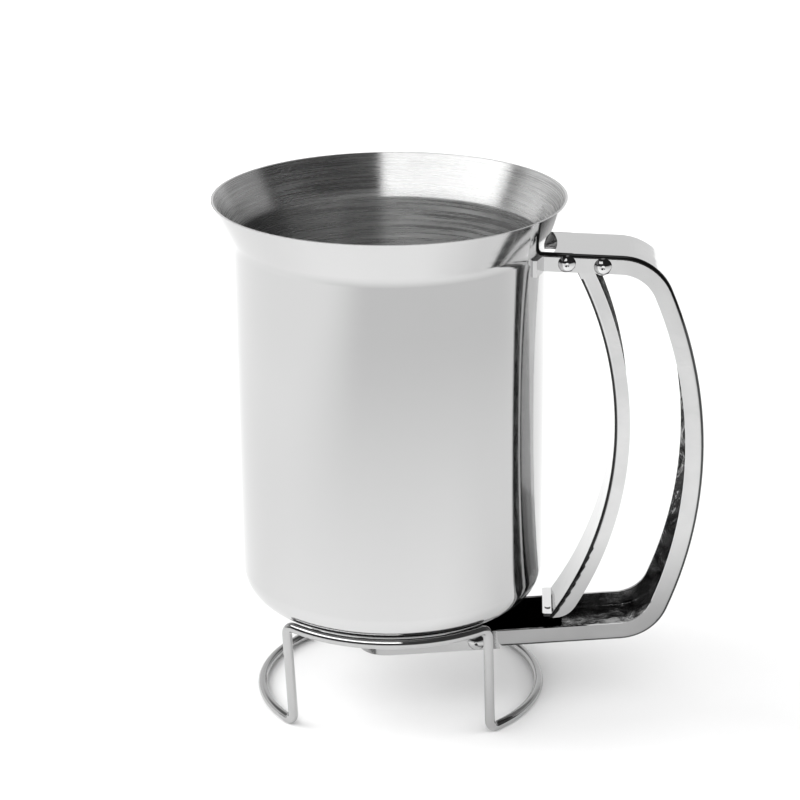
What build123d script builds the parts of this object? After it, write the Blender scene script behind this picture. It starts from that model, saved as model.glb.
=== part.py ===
"""Squeeze-handle batter dispenser on a loose wire stand.

Millimetres. The origin is the centre of the outlet hole in the cup's floor. +Z is up, and +X points
from the cup to the handle.
"""
from build123d import *
import math
import os

os.makedirs("parts", exist_ok=True)

# Cup
rim_radius = 52.5
rim_height = 131.7
stand_total_height = 162.0
cup_radius = 46.2
cup_thickness = 0.7
flare_height = 12.6
flare_outer_radius = 6.0
flare_inner_radius = 1.5
floor_slope = 13.0
floor_fillet = 9.0
outlet_radius = 8.0

# Handle channel, side view from the upper end at the cup
handle_width = 24.2
handle_thickness = 1.0
handle_depth = 5.5
handle_bend_radius = 1.3
handle_start_x = 46.0
handle_start_z = rim_height - 13.8
handle_start_heading = -2.2
upper_arm_length = 22.3
upper_corner_radius = 17.0
upper_corner_turn = 64.5
bow_radius = 134.0
bow_turn = 45.0
lower_corner_radius = 16.4
lower_corner_turn = 63.3
lower_arm_end_x = 33.2
lower_web_end_x = 36.0
lower_end_round = 2.6
web_cut_radius = 49.6
flange_half_width = 18.4
flange_height = 5.0
cup_overrun = 4.0

# Rivets
pivot_x = 52.3
pivot_z = rim_height - 17.0
anchor_x = 62.75
anchor_z = rim_height - 17.8
shank_radius = 0.9
head_radius = 2.65
head_height = 1.35
dimple_radius = 0.8
dimple_depth = 0.4
sleeve_outer_radius = 1.25
sleeve_clearance = 0.03
sleeve_end_gap = 0.1

# Trigger channel
trigger_width = 21.2
trigger_thickness = 1.0
trigger_depth = 4.6
trigger_bow_radius = 109.6
trigger_start_x = 53.6
trigger_start_heading = -60.9
trigger_web_top_z = rim_height - 21.0
trigger_web_bottom_z = rim_height - 131.4
trigger_toe_radius = 7.5
trigger_toe_x = 50.1
trigger_toe_z = rim_height - 123.8
trigger_toe_start_z = rim_height - 127.6
trigger_arc = 62.8
trigger_bend_radius = 1.3
tongue_width = 8.0
tongue_x = 49.4
tongue_thickness = 1.0
tongue_bottom_z = rim_height - 137.5
trigger_foot_length = 3.2
trigger_foot_half_width = 9.6
trigger_foot_corner_radius = 0.8
foot_boss_x = 48.3
foot_boss_length = 11.4
foot_boss_width = 1.8
foot_boss_height = 0.3
ear_radius = 1.65
ear_hole_clearance = 0.05
ear_roof_end = (60.2, rim_height - 17.9)
ear_lower_end = (60.6, rim_height - 22.0)
ear_inner_end = (56.5, rim_height - 22.0)
ear_neck = (55.4, rim_height - 19.4)

# Valve: bracket, slide and rails, in the lower arm's sloping plane
bracket_top = 5.2
bracket_bottom = -0.9
bracket_thickness = 1.0
bracket_end = 42.0
bracket_step = 33.6
bracket_foot = handle_bend_radius
slide_top = 4.1
slide_thickness = 0.8
slide_side_gap = 0.3
slide_end = 53.4
slide_corner_radius = 3.0
slot_half_length = 1.05
slot_side_gap = 0.4
rail_width = 1.2
rail_height = 1.1
rail_clearance = 0.1
rail_start = -4.0
rail_end = 21.0
guide_distance = 26.6
guide_level = 1.85
collar_wall = 1.2
collar_bore_length = 7.2
collar_chamfer_height = 2.1
collar_flange_radius = 13.0
collar_flange_thickness = 1.0

# Return spring
spring_wire_radius = 0.35
spring_coil_radius = 1.68
spring_pitch = 0.8
spring_whole_turns = 8
spring_handle_end = (69.6, rim_height - 16.2)
spring_trigger_end = (59.9, rim_height - 26.0)

# Wire stand
wire_radius = 1.5
stand_radius = 44.0
stand_bend = 3.0
stand_leg_azimuth = 43.35
stand_lean = (1.9, 4.8)
stand_twist = -2.3
stand_top_z = rim_height - 124.85
floor_z = rim_height - stand_total_height

# The lower arm and the valve lie in one plane that rises from the cup's axis to the handle
arm_slope = 180.0 + handle_start_heading - upper_corner_turn - bow_turn - lower_corner_turn


def bow_end(heading, x, z, run, turns):
    """Follows a straight run and its arcs, and gives the point and heading at the end."""
    x += run * math.cos(math.radians(heading))
    z += run * math.sin(math.radians(heading))
    for radius, turn in turns:
        chord = 2 * radius * math.sin(math.radians(turn) / 2)
        direction = math.radians(heading - turn / 2)
        x += chord * math.cos(direction)
        z += chord * math.sin(direction)
        heading -= turn
    return x, z


bow_turns = [
    (upper_corner_radius, upper_corner_turn),
    (bow_radius, bow_turn),
    (lower_corner_radius, lower_corner_turn),
]
corner_end_x, corner_end_z = bow_end(
    handle_start_heading, handle_start_x, handle_start_z, upper_arm_length, bow_turns
)
slope_cos = math.cos(math.radians(arm_slope))
slope_sin = math.sin(math.radians(arm_slope))
arm_z = corner_end_z - corner_end_x * slope_sin / slope_cos
lower_arm_length = (corner_end_x - lower_arm_end_x) / slope_cos

# Plan plane of the arm (normal upwards) and its side plane (normal towards -Y)
arm_plan = Plane(origin=(0, 0, arm_z), x_dir=(slope_cos, 0, slope_sin), z_dir=(-slope_sin, 0, slope_cos))
arm_side = Plane(origin=(0, 0, arm_z), x_dir=(slope_cos, 0, slope_sin), z_dir=(0, -1, 0))
arm_normal = Axis(arm_plan.origin, arm_plan.z_dir)

handle_inside = handle_width / 2 - handle_thickness
bracket_inside = handle_inside - bracket_thickness
trigger_inside = trigger_width / 2 - trigger_thickness


# Cup: spun shell with a conical flare, a rounded corner and a conical floor
def floor_rise(radius):
    """Height of the floor's inner face above the outlet's edge, at a radius."""
    return (radius - outlet_radius) * math.tan(math.radians(floor_slope))


floor_drop = cup_thickness / math.cos(math.radians(floor_slope))
cup_inner_radius = cup_radius - cup_thickness
crease_z = rim_height - flare_height

with BuildPart() as cup_shell:
    with BuildSketch(Plane.XZ):
        with BuildLine():
            outside = FilletPolyline(
                (outlet_radius, -floor_drop),
                (cup_radius, floor_rise(cup_radius) - floor_drop),
                (cup_radius, crease_z),
                (rim_radius, rim_height),
                radius=[floor_fillet, flare_outer_radius],
            )
            inside = FilletPolyline(
                (outlet_radius, 0),
                (cup_inner_radius, floor_rise(cup_inner_radius)),
                (cup_inner_radius, crease_z),
                (rim_radius - cup_thickness, rim_height),
                radius=[floor_fillet - cup_thickness, flare_inner_radius],
            )
            Line(outside @ 0, inside @ 0)
            Line(outside @ 1, inside @ 1)
        make_face()
    revolve(axis=Axis.Z)
cup_shell.part.label = "cup_shell"
export_step(cup_shell.part, "parts/cup_shell.step")

# Outlet collar: tube under the hole, chamfered inside its lower end, with a flange along the floor
collar_radius = outlet_radius + collar_wall
flange_edge_z = floor_rise(collar_flange_radius) - floor_drop
flange_root_z = floor_rise(collar_radius) - floor_drop - collar_flange_thickness
web_underside = bracket_top - bracket_thickness

with BuildPart() as outlet_collar:
    with BuildSketch(Plane.XZ):
        with BuildLine():
            Polyline(
                (outlet_radius, -floor_drop),
                (collar_flange_radius, flange_edge_z),
                (collar_flange_radius, flange_edge_z - collar_flange_thickness),
                (collar_radius, flange_root_z),
                (collar_radius, -collar_bore_length - collar_chamfer_height),
                (outlet_radius, -collar_bore_length),
                close=True,
            )
        make_face()
    revolve(axis=Axis.Z)
    with BuildSketch(arm_plan.offset(web_underside)):
        Circle(2 * collar_flange_radius)
    extrude(amount=-handle_width, mode=Mode.SUBTRACT)
outlet_collar.part.label = "outlet_collar"
export_step(outlet_collar.part, "parts/outlet_collar.step")


# Valve bracket: channel open downwards, with a round nose about the outlet
def nosed_strip(half_width, end):
    """Draws a strip from the nose about the outlet's axis to its square end."""
    Circle(half_width)
    with Locations((end / 2, 0)):
        Rectangle(end, 2 * half_width)


with BuildPart() as valve_bracket:
    with BuildSketch(arm_plan.offset(bracket_bottom)):
        nosed_strip(handle_inside, bracket_end)
    extrude(amount=bracket_top - bracket_bottom)
    with BuildSketch(arm_plan.offset(bracket_bottom)):
        nosed_strip(bracket_inside, bracket_end)
    extrude(amount=web_underside - bracket_bottom, mode=Mode.SUBTRACT)
    with BuildSketch(arm_side):
        with Locations((bracket_step, bracket_foot)):
            Rectangle(bracket_end, handle_width, align=(Align.MIN, Align.MAX))
    extrude(amount=handle_width, both=True, mode=Mode.SUBTRACT)
    with BuildSketch(Plane.XY.offset(arm_z)):
        Circle(collar_radius)
    extrude(amount=-arm_z, mode=Mode.SUBTRACT)
    with BuildSketch(arm_side):
        with Locations((guide_distance, guide_level)):
            Circle(shank_radius)
    extrude(amount=handle_width, both=True, mode=Mode.SUBTRACT)
valve_bracket.part.label = "valve_bracket"
export_step(valve_bracket.part, "parts/valve_bracket.step")


# Slide rails: ledges welded inside the bracket's walls, under the slide's edges
def slide_rail(side):
    """Makes one rail on the wall at side * Y."""
    with BuildPart() as rail:
        with BuildSketch(arm_plan.offset(slide_top - slide_thickness - rail_clearance)):
            with Locations(((rail_start + rail_end) / 2, side * (bracket_inside - rail_width / 2))):
                Rectangle(rail_end - rail_start, rail_width)
        extrude(amount=-rail_height)
        with BuildSketch(arm_plan):
            nosed_strip(bracket_inside, bracket_end)
        extrude(amount=bracket_top, mode=Mode.INTERSECT)
    return rail.part


slide_rail_front = slide_rail(-1)
slide_rail_front.label = "slide_rail_front"
export_step(slide_rail_front, "parts/slide_rail_front.step")
slide_rail_back = slide_rail(1)
slide_rail_back.label = "slide_rail_back"
export_step(slide_rail_back, "parts/slide_rail_back.step")

# Slide: flat strip that closes the outlet, with a slot for the trigger's tongue
slide_half_width = bracket_inside - slide_side_gap
slot_level = slide_top - slide_thickness / 2
slot_distance = (tongue_x + slot_level * slope_sin) / slope_cos

with BuildPart() as valve_slide:
    with BuildSketch(arm_plan.offset(slide_top)):
        nosed_strip(slide_half_width, slide_end)
    extrude(amount=-slide_thickness)
    fillet(valve_slide.edges().filter_by(arm_normal).group_by(Axis.X)[-1], slide_corner_radius)
    with BuildSketch(arm_plan.offset(slide_top)):
        with Locations((slot_distance, 0)):
            Rectangle(2 * slot_half_length, tongue_width + 2 * slot_side_gap)
    extrude(amount=-slide_thickness, mode=Mode.SUBTRACT)
valve_slide.part.label = "valve_slide"
export_step(valve_slide.part, "parts/valve_slide.step")


# Rivets: plain shank with a domed head at each end, each head with a small recess
def rivet(axis_x, axis_z, grip):
    """Makes a rivet along Y through plates whose outer faces are grip apart."""
    seat = grip / 2
    crown = seat + head_height
    dome_radius = (head_radius ** 2 + head_height ** 2) / (2 * head_height)
    with BuildPart() as pin:
        with BuildSketch(Plane.XY):
            with BuildLine():
                Polyline((0, crown), (0, 0), (shank_radius, 0), (shank_radius, seat), (head_radius, seat))
                RadiusArc((0, crown), (head_radius, seat), dome_radius)
            make_face()
            with BuildLine():
                Polyline((0, crown), (dimple_radius, crown), (0, crown - dimple_depth), close=True)
            make_face(mode=Mode.SUBTRACT)
        revolve(axis=Axis.Y)
        mirror(about=Plane.XZ)
    return pin.part.moved(Location((axis_x, 0, axis_z)))


def sleeve(axis_x, axis_z, length):
    """Makes a spacer sleeve along Y about a rivet's shank."""
    with BuildPart() as tube:
        with BuildSketch(Plane.XZ):
            with Locations((axis_x, axis_z)):
                Circle(sleeve_outer_radius)
                Circle(shank_radius + sleeve_clearance, mode=Mode.SUBTRACT)
        extrude(amount=length / 2, both=True)
    return tube.part


pivot_pin = rivet(pivot_x, pivot_z, handle_width)
pivot_pin.label = "pivot_pin"
export_step(pivot_pin, "parts/pivot_pin.step")
pivot_spacer = sleeve(pivot_x, pivot_z, 2 * (trigger_inside - sleeve_end_gap))
pivot_spacer.label = "pivot_spacer"
export_step(pivot_spacer, "parts/pivot_spacer.step")

anchor_pin = rivet(anchor_x, anchor_z, handle_width)
anchor_pin.label = "anchor_pin"
export_step(anchor_pin, "parts/anchor_pin.step")
anchor_spacer = sleeve(anchor_x, anchor_z, 2 * handle_inside)
anchor_spacer.label = "anchor_spacer"
export_step(anchor_spacer, "parts/anchor_spacer.step")

guide_point = arm_plan.from_local_coords((guide_distance, 0, guide_level))
guide_pin = rivet(guide_point.X, guide_point.Z, 2 * handle_inside)
guide_pin.label = "guide_pin"
export_step(guide_pin, "parts/guide_pin.step")
guide_sleeve = sleeve(guide_point.X, guide_point.Z, 2 * bracket_inside)
guide_sleeve.label = "guide_sleeve"
export_step(guide_sleeve, "parts/guide_sleeve.step")


# Handle: channel carried along the bow, web outwards, with end flanges on the cup
def channel_section(width, thickness, depth, bend_radius):
    """Draws a channel with its web's outer face on the local X axis and its walls towards depth."""
    web = math.copysign(thickness, depth)
    half = width / 2
    inner_half = half - thickness
    with BuildLine() as outline:
        outer = FilletPolyline((-half, depth), (-half, 0), (half, 0), (half, depth), radius=bend_radius)
        inner = FilletPolyline(
            (-inner_half, depth),
            (-inner_half, web),
            (inner_half, web),
            (inner_half, depth),
            radius=bend_radius - thickness,
        )
        Line(outer @ 0, inner @ 0)
        Line(outer @ 1, inner @ 1)
    make_face(outline.edges())


def section_plane(path):
    """Plane across a side-view path at its start, local X along Y."""
    return Plane(origin=path @ 0, x_dir=(0, 1, 0), z_dir=path % 0)


lower_wall_end = lower_arm_end_x / slope_cos
lower_web_end = lower_web_end_x / slope_cos
flange_bottom_z = handle_start_z - handle_depth

with BuildPart() as handle_frame:
    with BuildLine(Plane.XZ) as bow:
        arm_start = bow_end(handle_start_heading, handle_start_x, handle_start_z, -cup_overrun, [])
        arm = PolarLine(arm_start, upper_arm_length + cup_overrun, handle_start_heading)
        for radius, turn in bow_turns:
            arm = JernArc(arm @ 1, arm % 1, radius, -turn)
        Line(arm @ 1, arm @ 1 + (arm % 1) * lower_arm_length)
    with BuildSketch(section_plane(bow.line)):
        channel_section(handle_width, handle_thickness, -handle_depth, handle_bend_radius)
    sweep(path=bow.line)
    # The ends of the walls meet the cup; the ends of the web stop short of it
    with BuildSketch(Plane.XY.offset(flange_bottom_z - handle_depth)):
        Circle(cup_radius)
    extrude(amount=4 * handle_depth, mode=Mode.SUBTRACT)
    with BuildSketch(Plane.XY.offset(handle_start_z - handle_thickness - handle_bend_radius)):
        Circle(web_cut_radius)
        Rectangle(4 * cup_radius, 2 * handle_inside - handle_thickness, mode=Mode.INTERSECT)
    extrude(amount=4 * handle_depth, mode=Mode.SUBTRACT)
    with BuildSketch(arm_side):
        with Locations((lower_web_end, 0)):
            Rectangle(lower_web_end, 2 * handle_bend_radius, align=(Align.MAX, Align.CENTER))
    extrude(amount=handle_inside, both=True, mode=Mode.SUBTRACT)
    with BuildSketch(arm_side):
        with Locations((lower_wall_end, 0)):
            Rectangle(lower_end_round, lower_end_round, align=(Align.MIN, Align.MIN))
        with Locations((lower_wall_end + lower_end_round, lower_end_round)):
            Circle(lower_end_round, mode=Mode.SUBTRACT)
    extrude(amount=handle_width, both=True, mode=Mode.SUBTRACT)
    # End flanges, bent outwards to lie on the cup's wall
    with BuildSketch(Plane.XY.offset(flange_bottom_z)):
        Circle(cup_radius + handle_thickness)
        Circle(cup_radius, mode=Mode.SUBTRACT)
        with Locations((cup_radius, 0)):
            Rectangle(cup_radius, 2 * flange_half_width, mode=Mode.INTERSECT)
        Rectangle(4 * cup_radius, 2 * handle_inside, mode=Mode.SUBTRACT)
    extrude(amount=flange_height)
    with BuildSketch(Plane.XZ):
        with Locations((pivot_x, pivot_z), (anchor_x, anchor_z)):
            Circle(shank_radius)
    extrude(amount=handle_width, both=True, mode=Mode.SUBTRACT)
handle_frame.part.label = "handle_frame"
export_step(handle_frame.part, "parts/handle_frame.step")

# Trigger: channel carried along one arc, open towards the handle, with ears on the pivot
with BuildPart() as trigger_lever:
    with BuildLine(Plane.XZ) as lever:
        heading = math.radians(trigger_start_heading)
        direction = (math.cos(heading), math.sin(heading))
        JernArc((trigger_start_x, pivot_z), direction, trigger_bow_radius, -trigger_arc)
    with BuildSketch(section_plane(lever.line)):
        channel_section(trigger_width, trigger_thickness, trigger_depth, trigger_bend_radius)
    sweep(path=lever.line)
    # Upper end: web cut away, walls trimmed under a sloping roof and carried to the pivot as ears
    with BuildSketch(Plane.XY.offset(trigger_web_top_z)):
        with Locations((trigger_start_x, 0)):
            Rectangle(trigger_width, 2 * trigger_inside)
    extrude(amount=trigger_width, mode=Mode.SUBTRACT)
    with BuildSketch(Plane.XZ):
        with BuildLine():
            Polyline(
                (pivot_x - ear_radius, pivot_z + ear_radius),
                (pivot_x, pivot_z + ear_radius),
                ear_roof_end,
                (ear_roof_end[0], rim_height),
                (pivot_x - ear_radius, rim_height),
                close=True,
            )
        make_face()
    extrude(amount=trigger_width, both=True, mode=Mode.SUBTRACT)
    for side in (-1, 1):
        with BuildSketch(Plane.XZ.offset(-side * trigger_inside)):
            with Locations((pivot_x, pivot_z)):
                Circle(ear_radius)
            with BuildLine():
                Polyline(
                    (pivot_x, pivot_z + ear_radius),
                    ear_roof_end,
                    ear_lower_end,
                    ear_inner_end,
                    ear_neck,
                    (pivot_x, pivot_z - ear_radius),
                    close=True,
                )
            make_face()
        extrude(amount=-side * trigger_thickness)
    with BuildSketch(Plane.XZ):
        with Locations((pivot_x, pivot_z)):
            Circle(shank_radius + ear_hole_clearance)
    extrude(amount=trigger_width, both=True, mode=Mode.SUBTRACT)
    # Lower end: rounded toe, a foot bent towards the cup, and a tongue that drops into the slide's slot
    with BuildSketch(Plane.XZ):
        with Locations((trigger_toe_x, trigger_toe_start_z)):
            Rectangle(2 * trigger_toe_radius, 2 * trigger_toe_radius, align=(Align.MIN, Align.MAX))
        with Locations((trigger_toe_x, trigger_toe_z)):
            Circle(trigger_toe_radius, mode=Mode.SUBTRACT)
        with Locations((trigger_toe_x, trigger_web_bottom_z)):
            Rectangle(4 * trigger_toe_radius, trigger_toe_radius, align=(Align.CENTER, Align.MAX))
    extrude(amount=trigger_width, both=True, mode=Mode.SUBTRACT)
    with BuildSketch(Plane.XY.offset(trigger_web_bottom_z)):
        with Locations((tongue_x, 0)):
            Rectangle(tongue_thickness, tongue_width)
    extrude(amount=tongue_bottom_z - trigger_web_bottom_z)
    with BuildSketch(Plane.XY.offset(trigger_web_bottom_z)) as foot:
        with Locations((tongue_x + tongue_thickness / 2, 0)):
            Rectangle(trigger_foot_length, 2 * trigger_foot_half_width, align=(Align.MAX, Align.CENTER))
        fillet(foot.vertices().group_by(Axis.X)[0], trigger_foot_corner_radius)
    extrude(amount=trigger_thickness)
    with BuildSketch(Plane.XY.offset(trigger_web_bottom_z + trigger_thickness)):
        with Locations((foot_boss_x, 0)):
            SlotOverall(foot_boss_length, foot_boss_width, rotation=90)
    extrude(amount=foot_boss_height)
trigger_lever.part.label = "trigger_lever"
export_step(trigger_lever.part, "parts/trigger_lever.step")


# Return spring: torsion coil about the anchor sleeve, one leg on the handle, one on the trigger
def coil_leg(point, sense):
    """Angle about the anchor at which a straight leg to the point leaves the coil, and its length."""
    across = point[0] - anchor_x
    along = point[1] - anchor_z
    distance = math.hypot(across, along)
    angle = math.degrees(math.atan2(along, across) + sense * math.acos(spring_coil_radius / distance))
    return angle, math.sqrt(distance ** 2 - spring_coil_radius ** 2)


handle_leg_angle, handle_leg_length = coil_leg(spring_handle_end, 1)
trigger_leg_angle, trigger_leg_length = coil_leg(spring_trigger_end, -1)
spring_turns = spring_whole_turns + (trigger_leg_angle - handle_leg_angle) % 360 / 360
spring_length = spring_turns * spring_pitch
coil_start = (math.cos(math.radians(handle_leg_angle)), 0, math.sin(math.radians(handle_leg_angle)))
coil_plane = Plane(origin=(anchor_x, spring_length / 2, anchor_z), x_dir=coil_start, z_dir=(0, -1, 0))

with BuildPart() as spring:
    with BuildLine() as spring_wire:
        coil = Helix(spring_pitch, spring_length, spring_coil_radius)
        Line(coil @ 0 - (coil % 0) * handle_leg_length, coil @ 0)
        Line(coil @ 1, coil @ 1 + (coil % 1) * trigger_leg_length)
    with BuildSketch(Plane(origin=spring_wire.line @ 0, z_dir=spring_wire.line % 0)):
        Circle(spring_wire_radius)
    sweep(path=spring_wire.line)
return_spring = spring.part.moved(coil_plane.location)
return_spring.label = "return_spring"
export_step(return_spring, "parts/return_spring.step")

# Wire stand: one closed wire with arcs front and back at the top, left and right on the floor.
# It is bent by hand: the floor arcs sit a little behind and to the right of the top ones, and turned.
bend_angle = math.degrees(math.atan(stand_bend / stand_radius))
stand_floor_z = floor_z + wire_radius
top_half = stand_leg_azimuth - bend_angle
floor_half = 90 - stand_leg_azimuth - bend_angle


def stand_point(azimuth, advance, height, lean=(0, 0)):
    """Point on the stand: advance is measured along the circle's tangent at the azimuth."""
    angle = math.radians(azimuth)
    return Vector(
        lean[0] + stand_radius * math.cos(angle) - advance * math.sin(angle),
        lean[1] + stand_radius * math.sin(angle) + advance * math.cos(angle),
        height,
    )


with BuildPart() as wire_stand:
    with BuildLine() as stand_path:
        for middle in (-90, 90):
            for sense in (-1, 1):
                top_azimuth = middle + sense * top_half
                floor_azimuth = middle + sense * (stand_leg_azimuth + bend_angle) + stand_twist
                top_end = stand_point(top_azimuth, 0, stand_top_z)
                top_heading = stand_point(top_azimuth, sense, stand_top_z) - top_end
                leg_top = stand_point(top_azimuth, sense * stand_bend, stand_top_z - stand_bend)
                floor_end = stand_point(floor_azimuth, 0, stand_floor_z, stand_lean)
                floor_heading = stand_point(floor_azimuth, sense, stand_floor_z, stand_lean) - floor_end
                leg_bottom = floor_end - stand_bend * floor_heading + Vector(0, 0, stand_bend)
                leg = (leg_bottom - leg_top).normalized()
                Spline(top_end, leg_top, tangents=(top_heading, leg))
                Line(leg_top, leg_bottom)
                Spline(leg_bottom, floor_end, tangents=(leg, floor_heading))
            CenterArc((0, 0, stand_top_z), stand_radius, middle - top_half, 2 * top_half)
            floor_first = middle + 90 - floor_half + stand_twist
            CenterArc((*stand_lean, stand_floor_z), stand_radius, floor_first, 2 * floor_half)
    for piece in stand_path.edges():
        with BuildSketch(Plane(origin=piece @ 0, z_dir=piece % 0)):
            Circle(wire_radius)
        sweep(path=piece)
wire_stand.part.label = "wire_stand"
export_step(wire_stand.part, "parts/wire_stand.step")
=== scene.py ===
"""Looks for a steel batter dispenser on its wire stand: polished and brushed steel on a pale studio floor.

Metres. The origin is the outlet hole in the cup's floor, +X points to the handle and -Y to the camera.
"""

import math

import bpy
from mathutils import Matrix, Vector


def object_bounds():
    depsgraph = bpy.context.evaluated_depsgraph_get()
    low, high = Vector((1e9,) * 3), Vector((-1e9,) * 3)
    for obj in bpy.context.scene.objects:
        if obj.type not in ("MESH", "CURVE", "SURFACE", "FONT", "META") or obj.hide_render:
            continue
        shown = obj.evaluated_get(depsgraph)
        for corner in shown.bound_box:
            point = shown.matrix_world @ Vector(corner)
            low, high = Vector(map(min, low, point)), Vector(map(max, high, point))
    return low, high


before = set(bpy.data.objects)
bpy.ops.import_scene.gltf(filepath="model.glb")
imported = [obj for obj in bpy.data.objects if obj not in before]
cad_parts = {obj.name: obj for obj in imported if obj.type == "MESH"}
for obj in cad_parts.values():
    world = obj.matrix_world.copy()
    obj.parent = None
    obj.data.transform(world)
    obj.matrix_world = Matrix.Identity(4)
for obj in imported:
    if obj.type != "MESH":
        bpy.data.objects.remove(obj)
cad_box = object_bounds()
floor_z = cad_box[0].z
rim_z = cad_box[1].z
sheet_thickness = 0.001
handle_half_width = 0.0121
trigger_half_width = 0.0106


# Node helpers
class Graph:
    """Short calls that add nodes to a node tree."""

    def __init__(self, tree):
        self.tree = tree

    def node(self, kind, **settings):
        made = self.tree.nodes.new(kind)
        for key, value in settings.items():
            setattr(made, key, value)
        return made

    def plug(self, socket, value):
        if isinstance(value, bpy.types.NodeSocket):
            self.tree.links.new(value, socket)
        else:
            socket.default_value = value

    def math(self, operation, first, second=0.0):
        made = self.node("ShaderNodeMath", operation=operation)
        self.plug(made.inputs[0], first)
        self.plug(made.inputs[1], second)
        return made.outputs[0]

    def times(self, first, second):
        return self.math("MULTIPLY", first, second)

    def vector_math(self, operation, first, second=(0, 0, 0)):
        made = self.node("ShaderNodeVectorMath", operation=operation)
        self.plug(made.inputs[0], first)
        self.plug(made.inputs[1], second)
        return made.outputs["Value" if operation in ("DOT_PRODUCT", "LENGTH") else "Vector"]

    def split(self, vector):
        made = self.node("ShaderNodeSeparateXYZ")
        self.plug(made.inputs[0], vector)
        return made.outputs

    def join(self, x, y, z):
        made = self.node("ShaderNodeCombineXYZ")
        for socket, value in zip(made.inputs, (x, y, z)):
            self.plug(socket, value)
        return made.outputs[0]

    def noise(self, vector, scale, detail=2.0, roughness=0.5, distortion=0.0):
        made = self.node("ShaderNodeTexNoise")
        self.plug(made.inputs["Vector"], vector)
        made.inputs["Scale"].default_value = scale
        made.inputs["Detail"].default_value = detail
        made.inputs["Roughness"].default_value = roughness
        made.inputs["Distortion"].default_value = distortion
        return made.outputs["Fac"]

    def streaks(self, x, y, z, scale_across, scale_along, detail, roughness=0.5):
        """Noise that changes at one rate over x and y, and at another along z."""
        stretched = self.join(self.times(x, scale_across),
                              self.times(y, scale_across),
                              self.times(z, scale_along))
        return self.noise(stretched, 1.0, detail, roughness)

    def ramp(self, value, low, high, out_low=0.0, out_high=1.0, smooth=True):
        """Goes from out_low at low to out_high at high, and stays flat outside them."""
        made = self.node("ShaderNodeMapRange", interpolation_type="SMOOTHSTEP" if smooth else "LINEAR")
        self.plug(made.inputs["Value"], value)
        made.inputs["From Min"].default_value = low
        made.inputs["From Max"].default_value = high
        self.plug(made.inputs["To Min"], out_low)
        self.plug(made.inputs["To Max"], out_high)
        return made.outputs["Result"]

    def spread(self, noise, out_low, out_high, low=0.3, high=0.7):
        """Spreads noise over two levels. Most of it lies between low and high."""
        return self.ramp(noise, low, high, out_low, out_high)

    def blend(self, amount, first, second):
        """Mixes two numbers: first where the amount is 0, second where it is 1."""
        made = self.node("ShaderNodeMix", data_type="FLOAT")
        self.plug(made.inputs["Factor"], amount)
        self.plug(made.inputs["A"], first)
        self.plug(made.inputs["B"], second)
        return made.outputs["Result"]


class Surface(Graph):
    """A grey node material with one Principled shader."""

    def __init__(self, name, level, roughness, metallic=1.0):
        self.material = bpy.data.materials.new(name)
        self.material.use_nodes = True
        super().__init__(self.material.node_tree)
        self.shader = self.tree.nodes["Principled BSDF"]
        self.set("Base Color", (level, level, level, 1))
        self.set("Roughness", roughness)
        self.set("Metallic", metallic)
        self.place = self.node("ShaderNodeTexCoord").outputs["Object"]

    def set(self, name, value):
        """Gives the shader's input of that name a number or a link."""
        self.plug(self.shader.inputs[name], value)

    def grey(self, value):
        """Gives the base colour one level in all three channels."""
        self.set("Base Color", self.join(value, value, value))

    def facet_normal(self):
        return self.node("ShaderNodeNewGeometry").outputs["True Normal"]

    def bump(self, height, distance, strength=1.0, normal=None):
        made = self.node("ShaderNodeBump")
        self.plug(made.inputs["Height"], height)
        self.plug(made.inputs["Strength"], strength)
        made.inputs["Distance"].default_value = distance
        if normal is not None:
            self.plug(made.inputs["Normal"], normal)
        self.set("Normal", made.outputs["Normal"])
        return made.outputs["Normal"]

    def grain_round_axis(self):
        """Lays the grain of an anisotropic surface round the Z axis."""
        quarter_turn = 0.25
        tangent = self.node("ShaderNodeTangent", direction_type="RADIAL", axis="Z")
        self.set("Tangent", tangent.outputs["Tangent"])
        self.set("Anisotropic Rotation", quarter_turn)


# Materials
def cup_inside(steel, outward, upward):
    """Mask of the cup's inside: faces that look towards the axis or up."""
    inward = steel.math("SUBTRACT", steel.times(upward, 0.5), outward)
    return steel.ramp(inward, -0.05, 0.05)


def cup_inside_painted_shade(steel, x):
    """Painted shade on the inside wall: the share of the level left, least away from the handle, and a little
    less beside it.
    """
    away_from_handle = steel.ramp(x, -0.044, -0.016, 0.20, 0.84)
    beside_handle = steel.ramp(x, 0.022, 0.046, 1.0, 0.75)
    return steel.times(away_from_handle, beside_handle)


def cup_seat_painted_shade(steel, y, z):
    """Mask of a painted contact shadow and painted reflection of the arc: a dark line where the bottom's edge
    sits on the stand's front arc.
    """
    in_front = steel.ramp(y, -0.035, -0.029, 1.0, 0.0)
    under_edge = steel.ramp(z, 0.0088, 0.0100, 1.0, 0.0)
    return steel.times(in_front, under_edge)


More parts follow.
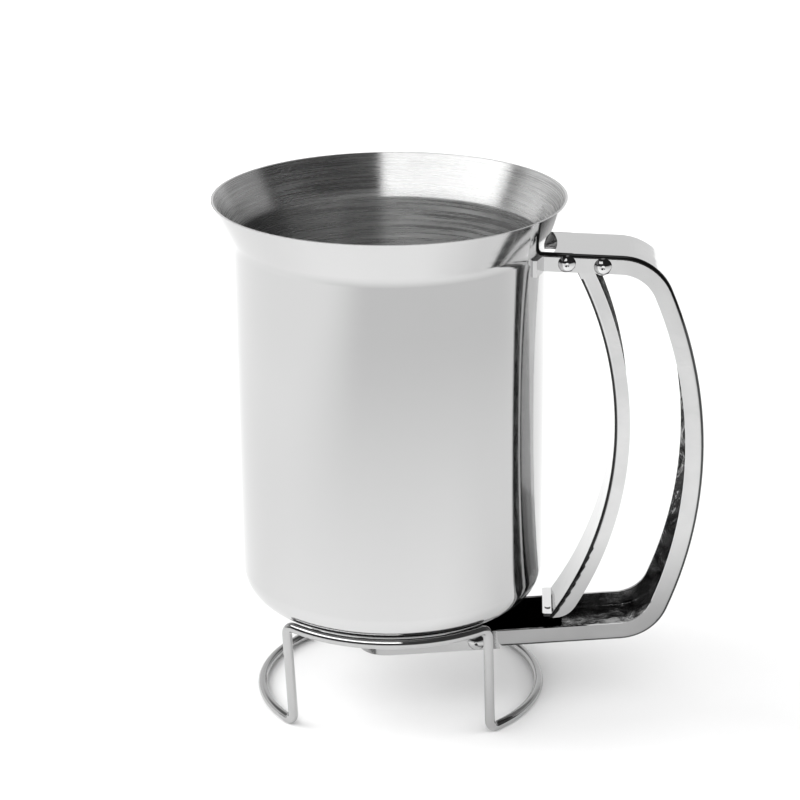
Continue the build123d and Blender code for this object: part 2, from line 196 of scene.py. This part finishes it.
def cup_steel():
    """Spun steel: polished outside, turned rings inside, both marked round the cup's axis."""
    outer_level = 0.575
    seat_shade_level = 0.08
    matt_share = 0.14
    ring_depth = 0.00005
    ring_strength_outside = 0.04
    wall_top = rim_z - 0.0129
    flare_start = rim_z - 0.0095
    steel = Surface("cup_spun_steel", 0.78, 0.1)
    steel.grain_round_axis()
    x, y, z = steel.split(steel.place)
    from_axis = steel.join(x, y, 0.0)
    radius = steel.vector_math("LENGTH", from_axis)
    radial = steel.vector_math("NORMALIZE", from_axis)
    normal = steel.facet_normal()
    outward = steel.vector_math("DOT_PRODUCT", normal, radial)
    _, _, upward = steel.split(normal)
    inside = cup_inside(steel, outward, upward)
    # Marks run round the axis: they change fast along the profile and slowly round it
    along = steel.math("ADD", radius, z)
    fine = steel.streaks(x, y, along, scale_across=22, scale_along=2600, detail=2.0, roughness=0.6)
    broad = steel.streaks(x, y, along, scale_across=40, scale_along=900, detail=3.0, roughness=0.6)
    marks = steel.blend(0.5, fine, broad)
    rough_outside = steel.spread(marks, 0.07, 0.11, low=0.35, high=0.65)
    rough_inside = steel.spread(marks, 0.23, 0.32, low=0.35, high=0.65)
    steel.set("Roughness", steel.blend(inside, rough_outside, rough_inside))
    steel.set("Anisotropic", steel.blend(inside, 0.85, 1.0))
    # Below the flare the turned wall gets painted shade, and is a little matt
    below_flare = steel.ramp(z, wall_top, flare_start, 1.0, 0.0)
    inside_shade = steel.blend(below_flare, 1.0, cup_inside_painted_shade(steel, x))
    inner_tone_and_shade = steel.times(steel.spread(marks, 0.44, 0.78), inside_shade)
    # Painted shade: the contact shadow and the arc's reflection darken the outside at the bottom's edge
    outside = steel.blend(cup_seat_painted_shade(steel, y, z), outer_level, seat_shade_level)
    steel.grey(steel.blend(inside, outside, inner_tone_and_shade))
    matt = steel.times(steel.times(inside, below_flare), matt_share)
    steel.set("Metallic", steel.math("SUBTRACT", 1.0, matt))
    steel.bump(marks, ring_depth, strength=steel.blend(inside, ring_strength_outside, 1.0))
    return steel.material


def polished_strip(name, level, smoothest, roughest, wave_depth):
    """Pressed and polished strip: a soft waviness left by the press, and a fine polish grain.

    Returns the surface, its tone, its roughness and its waved normal, for materials that add to them.
    """
    grain_depth = 0.000004
    steel = Surface(name, level, smoothest)
    waves = steel.noise(steel.place, scale=160, distortion=0.6)
    grain = steel.noise(steel.place, scale=2600, detail=3.0, roughness=0.6)
    patches = steel.noise(steel.place, scale=60, detail=3.0)
    rough = steel.spread(grain, smoothest, roughest)
    tone = steel.spread(patches, level * 0.95, level * 1.05)
    steel.set("Roughness", rough)
    steel.grey(tone)
    waved = steel.bump(waves, wave_depth)
    steel.bump(grain, grain_depth, normal=waved)
    return steel, tone, rough, waved


def pressed_steel(name, level, smoothest, roughest, wave_depth):
    """Plain pressed strip."""
    return polished_strip(name, level, smoothest, roughest, wave_depth)[0].material


def towards_grip(steel, normal):
    """Mask of the bow's faces that look towards the middle of the grip."""
    grip_middle = (0.045, 0.0, 0.060)
    to_grip = steel.vector_math("SUBTRACT", grip_middle, steel.place)
    return steel.ramp(steel.vector_math("DOT_PRODUCT", normal, to_grip), 0.004, 0.008)


def towards_handle(steel, normal):
    """Mask of the trigger's faces that look towards the handle."""
    rightward, _, _ = steel.split(normal)
    return steel.ramp(rightward, 0.2, 0.3)


def painted_bend_line(steel, off_middle, half_width, sideways):
    """Mask of the painted dark reflection along each bend, between the flat web and the flat walls."""
    from_web = steel.ramp(off_middle, half_width - 0.00135, half_width - 0.0012)
    to_wall = steel.ramp(off_middle, half_width - 0.00015, half_width - 0.00002, 1.0, 0.0)
    turning = steel.ramp(steel.math("ABSOLUTE", sideways), 0.005, 0.03)
    return steel.times(steel.times(from_web, to_wall), turning)


def web_gap_shade(steel, x, off_middle):
    """Mask of painted shade beside the cup, at the sides of the handle's web, for the dark gap where the web
    meets the cup.
    """
    beside_cup = steel.ramp(x, 0.0535, 0.0545, 1.0, 0.0)
    at_side = steel.ramp(off_middle, 0.0104, 0.0108)
    return steel.times(beside_cup, at_side)


def channel_steel(name, level, half_width, facing, inside_shade_levels, crinkle_depth, painted_top_level, gap_shade_level=None):
    """Pressed channel: polished outside, and inside crinkled where the press left it and darkened with
    painted shade.

    facing makes the mask of the web's open side. The inside shade levels are the darkest and the lightest
    painted shade inside.
    The painted top level is the level of faces that look straight up, and the gap shade level that of the
    painted shade of the gap at the cup among them.
    """
    painted_bend_level = 0.10
    inner_roughness = 0.22
    margin = 0.0002
    inner_half = half_width - sheet_thickness
    steel, tone, rough, waved = polished_strip(name, level, smoothest=0.05, roughest=0.10, wave_depth=0.00005)
    x, y, z = steel.split(steel.place)
    off_middle = steel.math("ABSOLUTE", y)
    normal = steel.facet_normal()
    _, sideways, upward = steel.split(normal)
    # Inside is between the walls, on faces that look towards the middle or the open side
    between_walls = steel.ramp(off_middle, inner_half + margin, inner_half + 2 * margin, 1.0, 0.0)
    wall_side = steel.ramp(steel.times(sideways, y), -0.004, -0.002, 1.0, 0.0)
    inside = steel.times(between_walls, steel.math("MAXIMUM", wall_side, facing(steel, normal)))
    crinkle = steel.noise(steel.place, scale=150, detail=3.0, roughness=0.55, distortion=0.8)
    # Painted shade: the inside of the channel is dark, spread over the crinkles
    inner_tone_and_shade = steel.spread(crinkle, *inside_shade_levels, low=0.36, high=0.68)
    # Painted shade and light: the outside is darkest at the lower arm and grows a little lighter up to the
    # upper arm
    lower_arm_painted_shade = steel.ramp(z, -0.002, 0.034, 0.52, 1.0)
    up_the_bow_painted_light = steel.ramp(z, 0.03, 0.115, 0.94, 1.08)
    outside = steel.times(tone, steel.times(lower_arm_painted_shade, up_the_bow_painted_light))
    bend = painted_bend_line(steel, off_middle, half_width, sideways)
    # Painted reflection: each bend is darkened to a dark line
    bend_painted_dark = steel.times(outside, steel.blend(bend, 1.0, painted_bend_level))
    # Painted shade: beside the cup the up-facing faces go dark, for the gap where the web meets the cup
    if gap_shade_level is not None:
        painted_top_level = steel.blend(web_gap_shade(steel, x, off_middle), painted_top_level, gap_shade_level)
    # Painted light: faces that look straight up get a painted level of their own, a painted highlight on the
    # trigger's foot
    looks_up = steel.ramp(upward, 0.95, 0.99)
    steel.grey(steel.blend(inside, steel.blend(looks_up, bend_painted_dark, painted_top_level), inner_tone_and_shade))
    steel.bump(crinkle, crinkle_depth, strength=inside, normal=waved)
    steel.set("Roughness", steel.blend(inside, rough, inner_roughness))
    return steel.material


def domed_steel(name, level):
    """Rivet: bright below, and a painted dark reflection on the upper side of its dome."""
    upper_painted_shade = 0.3
    steel, tone, _, _ = polished_strip(name, level, smoothest=0.05, roughest=0.10, wave_depth=0.00002)
    _, _, upward = steel.split(steel.node("ShaderNodeNewGeometry").outputs["Normal"])
    # Painted reflection: the dome's upper side is darkened
    steel.grey(steel.times(tone, steel.ramp(upward, 0.0, 0.25, 1.0, upper_painted_shade)))
    return steel.material


def shaded_steel(name, level):
    """Valve strip: polished sides, and painted shade on its upper face, which lies under the cup: a dark
    colour and dimmed reflections.
    """
    painted_top_level = 0.035
    top_shade_tint = 0.15
    steel, tone, _, _ = polished_strip(name, level, smoothest=0.08, roughest=0.14, wave_depth=0.00005)
    _, _, upward = steel.split(steel.facet_normal())
    top = steel.ramp(upward, 0.6, 0.8)
    # Painted shade: the upper face under the cup goes nearly black, its reflections dimmed too
    steel.grey(steel.blend(top, tone, painted_top_level))
    tint = steel.blend(top, 1.0, top_shade_tint)
    steel.set("Specular Tint", steel.join(tint, tint, tint))
    return steel.material


def drawn_wire(name, level, smoothest, roughest):
    """Drawn wire: long fine draw lines and a bright polish."""
    line_depth = 0.000006
    steel = Surface(name, level, smoothest)
    x, y, z = steel.split(steel.place)
    lines = steel.streaks(x, y, z, scale_across=900, scale_along=60, detail=2.0)
    steel.set("Roughness", steel.spread(lines, smoothest, roughest))
    steel.grey(steel.blend(lines, level * 0.94, level * 1.04))
    steel.bump(lines, line_depth)
    return steel.material


def handle_steel():
    """The bow: deep crinkles and painted shade inside, and painted shade where its web meets the cup, for the
    dark gap there.
    """
    return channel_steel("handle_pressed_steel", 0.64, handle_half_width, towards_grip,
                         inside_shade_levels=(0.08, 0.42), crinkle_depth=0.0010, painted_top_level=0.66, gap_shade_level=0.05)


def trigger_steel():
    """The trigger: faint crinkles and painted shade inside, and a painted highlight on its foot."""
    return channel_steel("trigger_pressed_steel", 0.66, trigger_half_width, towards_handle,
                         inside_shade_levels=(0.16, 0.30), crinkle_depth=0.0002, painted_top_level=0.969)


finishes = {
    "cup_shell": cup_steel(),
    "outlet_collar": cup_steel(),
    "handle_frame": handle_steel(),
    "trigger_lever": trigger_steel(),
    "valve_bracket": shaded_steel("bracket_pressed_steel", 0.42),
    "valve_slide": shaded_steel("slide_pressed_steel", 0.62),
    "return_spring": drawn_wire("spring_drawn_wire", 0.40, smoothest=0.16, roughest=0.28),
    "wire_stand": drawn_wire("stand_drawn_wire", 0.46, smoothest=0.05, roughest=0.10),
}
for side in ("front", "back"):
    finishes[f"slide_rail_{side}"] = pressed_steel(
        f"rail_{side}_steel", 0.55, smoothest=0.14, roughest=0.24, wave_depth=0.00003)
for rivet, level in (("pivot", 0.66), ("anchor", 0.66), ("guide", 0.60)):
    finishes[f"{rivet}_pin"] = domed_steel(f"rivet_steel_{rivet}", level)
for rivet, sleeve in (("pivot", "spacer"), ("anchor", "spacer"), ("guide", "sleeve")):
    finishes[f"{rivet}_{sleeve}"] = pressed_steel(
        f"sleeve_steel_{rivet}", 0.55, smoothest=0.12, roughest=0.2, wave_depth=0.00001)
for node, finish in finishes.items():
    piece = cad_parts[node]
    for slot in piece.material_slots:
        slot.material = finish


# Set
def link_mesh(name, points, faces, material):
    """Makes an object of one material from points and faces."""
    mesh = bpy.data.meshes.new(name)
    mesh.from_pydata(points, [], faces)
    mesh.materials.append(material)
    made = bpy.data.objects.new(name, mesh)
    bpy.context.scene.collection.objects.link(made)
    return made


def floor_paper():
    """White paper with painted light falloff: its near half grows darker away from the object, most of all to
    the right.
    """
    level = 0.86
    behind_level = 0.92
    paper = Surface("white_paper", level, 0.9, metallic=0.0)
    paper.set("Specular IOR Level", 0.1)
    across, away, _ = paper.split(paper.place)
    distance = paper.vector_math("LENGTH", paper.join(across, away, 0.0))
    far_painted_level = paper.ramp(across, -0.36, -0.10, 0.88, 0.65)
    painted_falloff = paper.ramp(distance, 0.10, 0.42, 1.0, far_painted_level, smooth=False)
    near_half = paper.ramp(away, -0.05, 0.40, 1.0, 0.0)
    # Painted shade: the paper's colour falls off in place of the light's falloff
    paper.grey(paper.times(paper.blend(near_half, behind_level, painted_falloff), level))
    return paper.material


def add_floor():
    reach = 30.0
    corners = [(x * reach, y * reach, floor_z) for x, y in ((-1, -1), (1, -1), (1, 1), (-1, 1))]
    card = link_mesh("floor", corners, [(0, 1, 2, 3)], floor_paper())


def glow(name, strength):
    """A material that only gives light."""
    material = bpy.data.materials.new(name)
    material.use_nodes = True
    light = Graph(material.node_tree)
    light.tree.nodes.clear()
    emission = light.node("ShaderNodeEmission")
    emission.inputs["Strength"].default_value = strength
    output = light.node("ShaderNodeOutputMaterial")
    light.plug(output.inputs["Surface"], emission.outputs["Emission"])
    return material


def add_softbox(name, centre, distance, azimuths, elevations, strength):
    """A glowing patch of a sphere, seen only in reflections.

    azimuths and elevations are in degrees. Azimuth 0 is the front (-Y), positive to the right.
    """
    steps = 12
    points = []
    for row in range(steps + 1):
        elevation = math.radians(elevations[0] + (elevations[1] - elevations[0]) * row / steps)
        for column in range(steps + 1):
            azimuth = math.radians(azimuths[0] + (azimuths[1] - azimuths[0]) * column / steps)
            outward = Vector((math.cos(elevation) * math.sin(azimuth),
                              -math.cos(elevation) * math.cos(azimuth),
                              math.sin(elevation)))
            points.append(Vector(centre) + distance * outward)
    faces = []
    for row in range(steps):
        for column in range(steps):
            corner = row * (steps + 1) + column
            faces.append((corner, corner + 1, corner + steps + 2, corner + steps + 1))
    patch = link_mesh(name, points, faces, glow(name, strength))
    patch.visible_camera = False
    patch.visible_diffuse = False
    patch.visible_shadow = False


def studio_world():
    """Studio: pale behind, at the sides and overhead, and dark in front."""
    world = bpy.data.worlds.new("studio")
    bpy.context.scene.world = world
    world.use_nodes = True
    room = Graph(world.node_tree)
    x, y, z = room.split(room.node("ShaderNodeTexCoord").outputs["Generated"])
    azimuth = room.math("ARCTAN2", x, room.times(y, -1.0))

    def wall(start, end, low, high):
        """Brightness that changes between two azimuths in degrees, 0 in front and positive to the right."""
        return room.ramp(azimuth, math.radians(start), math.radians(end), low, high)

    ambient = 0.07
    left = room.times(wall(-107, -101, 0.80, 0.44), wall(-92, -84, 1.0, 0.0))
    right = wall(99, 108, 0.0, 0.42)
    below_top = room.ramp(z, 0.42, 0.55, 1.0, 0.15)
    sides = room.times(room.math("MAXIMUM", left, right), below_top)
    back = room.ramp(y, 0.62, 0.90, 0.0, 0.74)
    ceiling = room.ramp(z, 0.92, 0.99, 0.0, 0.6)
    brightest = room.math("MAXIMUM", sides, room.math("MAXIMUM", back, ceiling))
    reflected = room.math("ADD", brightest, ambient)
    # The camera sees plain white above the floor's edge
    seen = room.node("ShaderNodeLightPath").outputs["Is Camera Ray"]
    background = world.node_tree.nodes["Background"]
    background.inputs["Color"].default_value = (1, 1, 1, 1)
    room.plug(background.inputs["Strength"], room.blend(seen, reflected, 1.0))


def add_sun(name, direction, strength, spread):
    """A soft sun, not seen in reflections. direction points to it, and spread is its width in degrees."""
    light = bpy.data.lights.new(name, "SUN")
    light.energy = strength
    light.angle = math.radians(spread)
    lamp = bpy.data.objects.new(name, light)
    bpy.context.scene.collection.objects.link(lamp)
    lamp.rotation_euler = Vector(direction).to_track_quat("Z", "Y").to_euler()
    lamp.visible_glossy = False


add_floor()
add_softbox("key_softbox", centre=(-0.01, 0.045, 0.125), distance=0.42,
            azimuths=(-92, 10.0), elevations=(22, 46), strength=3.7)
studio_world()
add_sun("key", (-1.0, 0.12, 0.70), strength=1.9, spread=50)
for side, away, strength in (("back", 0.7, 0.6), ("front", -0.7, 2.6)):
    for hand in (-1, 1):
        add_sun(f"fill_{side}_{hand}", (0.7 * hand, away, 0.55), strength, spread=90)


# Camera
def add_camera(place, heading, pitch, roll, lens):
    """Camera in front of the object, turned left by heading, tipped down by pitch and rolled, in radians."""
    forward = Vector((-math.sin(heading) * math.cos(pitch),
                      math.cos(heading) * math.cos(pitch),
                      -math.sin(pitch)))
    sideways = Vector((math.cos(heading), math.sin(heading), 0))
    upright = sideways.cross(forward)
    right = sideways * math.cos(roll) + upright * math.sin(roll)
    up = upright * math.cos(roll) - sideways * math.sin(roll)
    turn = Matrix((right, up, -forward)).transposed()
    data = bpy.data.cameras.new("camera")
    data.lens = lens
    data.sensor_width = 36.0
    data.clip_end = 200.0
    camera = bpy.data.objects.new("camera", data)
    bpy.context.scene.collection.objects.link(camera)
    camera.matrix_world = Matrix.Translation(place) @ turn.to_4x4()
    bpy.context.scene.camera = camera


add_camera(Vector((0.03823, -0.66309, 0.31153)), heading=0.053596, pitch=0.3521, roll=-0.0082, lens=104.74)
bpy.context.scene.view_settings.view_transform = "Standard"
